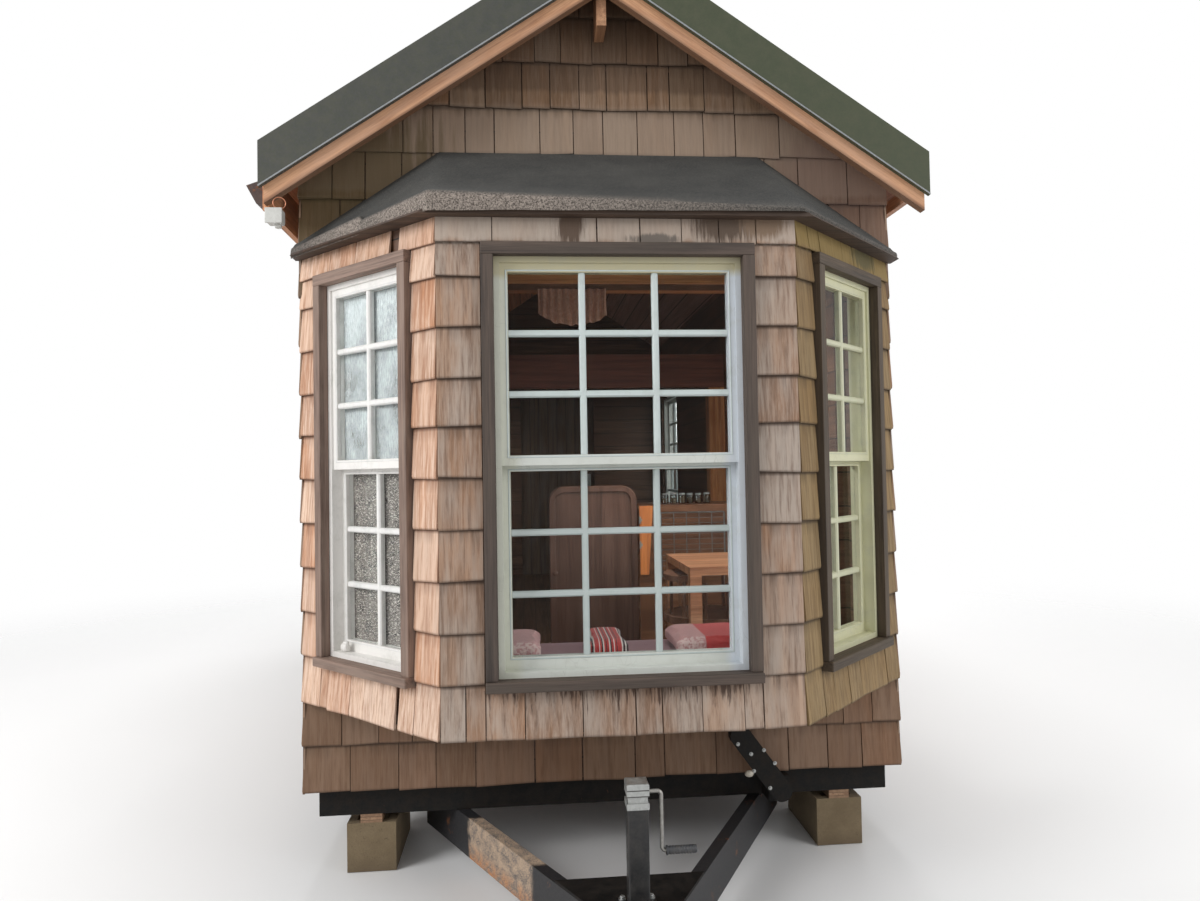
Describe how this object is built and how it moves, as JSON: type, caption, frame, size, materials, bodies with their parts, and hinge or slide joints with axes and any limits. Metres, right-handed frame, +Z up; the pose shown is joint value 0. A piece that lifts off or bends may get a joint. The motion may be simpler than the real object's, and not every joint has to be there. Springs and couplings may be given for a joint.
{
  "type": "tiny house on wheels",
  "caption": "Shingled gable cabin with a canted bay of sash windows, carried on a two-axle trailer with an A-frame tongue, a crank jack and corner blocks.",
  "frame": {"origin": "on the ground under the middle of the whole house and tongue", "axes": "+Z up, -Y towards the tongue and the bay, +X to the right of someone who looks at the bay"},
  "size_m": [2.651, 6.87, 3.6797],
  "materials": {
    "trailer_paint": "worn black paint with rust",
    "zinc": "zinc plated, weathered",
    "grip": "matt black",
    "rim_paint": "pale paint",
    "tyre": "matt black rubber",
    "concrete": "cast concrete",
    "framing_wood": "planed softwood",
    "floor_wood": "floor boards",
    "cedar": "weathered cedar shingles",
    "roll_roofing": "mineral surfaced roll roofing",
    "roof_metal": "dark olive brown paint",
    "barge_wood": "oiled cedar board",
    "window_paint": "off white oil paint",
    "glass": "clear float glass",
    "casing_wood": "weathered dark wood",
    "interior_wood": "varnished wood",
    "cushion_fabric": "woven cover",
    "pillow_pink": "woven cotton",
    "pillow_stripe": "striped weave",
    "pillow_red": "woven cotton",
    "valance_cloth": "thin woven cotton"
  },
  "bodies": {
    "house": {"main_rails": "trailer_paint", "end_crossmembers": "trailer_paint", "floor_crossmembers": "trailer_paint", "tongue_beams": "trailer_paint", "tongue_plate": "trailer_paint", "coupler": "trailer_paint", "jack_post": "trailer_paint", "jack_cap": "zinc", "jack_leg": "zinc", "tongue_bracket": "trailer_paint", "axles": "trailer_paint", "wheel_rims": "rim_paint", "tyres": "tyre", "wheel_wells": "zinc", "support_blocks": "concrete", "block_shims": "framing_wood", "floor_deck": "floor_wood", "left_wall": "cedar", "right_wall": "cedar", "front_wall": "cedar", "rear_wall": "cedar", "bay_floor": "framing_wood", "bay_front_wall": "cedar", "bay_left_wall": "cedar", "bay_right_wall": "cedar", "bay_roof": "roll_roofing", "roof_deck_left": "framing_wood", "roof_deck_right": "framing_wood", "metal_roofing": "roof_metal", "ridge_cap": "roof_metal", "rake_trims": "roof_metal", "barge_boards": "barge_wood", "ridge_beam": "barge_wood", "window_frames": "window_paint", "window_sashes": "window_paint", "window_glass": "glass", "window_casings": "casing_wood", "rear_door": "casing_wood", "door_casing": "casing_wood", "header_beam": "interior_wood", "interior_post": "interior_wood", "seat_cushion": "cushion_fabric", "pillow_left": "pillow_pink", "pillow_center": "pillow_stripe", "pillow_right": "pillow_red", "arched_panel": "interior_wood", "table": "interior_wood", "cabinet": "interior_wood", "chair": "interior_wood", "loft_beam": "interior_wood", "eave_fascias": "barge_wood", "gutter": "roof_metal", "door_handle": "zinc", "valance": "valance_cloth"},
    "jack_crank": {"crank_arm": "zinc", "crank_grip": "grip"}
  },
  "joints": [
    {"name": "crank_turn", "type": "hinge", "parent": "house", "child": "jack_crank", "pos_m": [0.05, -3.065, 0.587], "axis": [1, 0, 0], "continuous": true}
  ]
}
